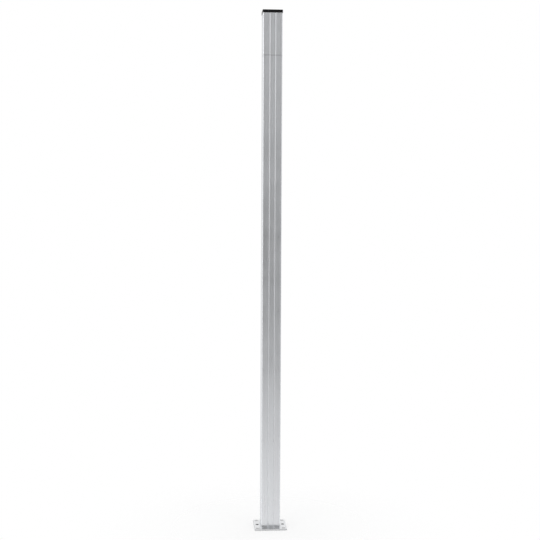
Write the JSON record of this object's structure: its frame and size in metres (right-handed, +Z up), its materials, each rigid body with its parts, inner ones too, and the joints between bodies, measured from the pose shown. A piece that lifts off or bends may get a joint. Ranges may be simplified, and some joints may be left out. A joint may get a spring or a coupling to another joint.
{
  "type": "metal fence post",
  "caption": "Square extruded aluminium fence post with fine grooves down each face, a jointed top length, a black push-in end cap and a drilled bolt-down base plate.",
  "frame": {"origin": "middle of the underside of the base plate, on the ground", "axes": "+Z up along the post; -Y towards the front face that the picture shows; +X to the right in the picture"},
  "size_m": [0.1, 0.1, 1.6],
  "materials": {
    "plate": "sawn and drilled flat, satin silver",
    "post": "satin silver extrusion with fine lengthwise die lines",
    "sleeve": "plain extrusion",
    "screws": "plain stainless steel",
    "cap": "black moulded plastic, fine satin texture"
  },
  "bodies": {
    "root": {"base_plate": "plate", "lower_post": "post", "upper_post": "post", "joint_sleeve": "sleeve", "joint_screws": "screws", "base_screws": "screws", "top_cap": "cap"}
  },
  "joints": []
}
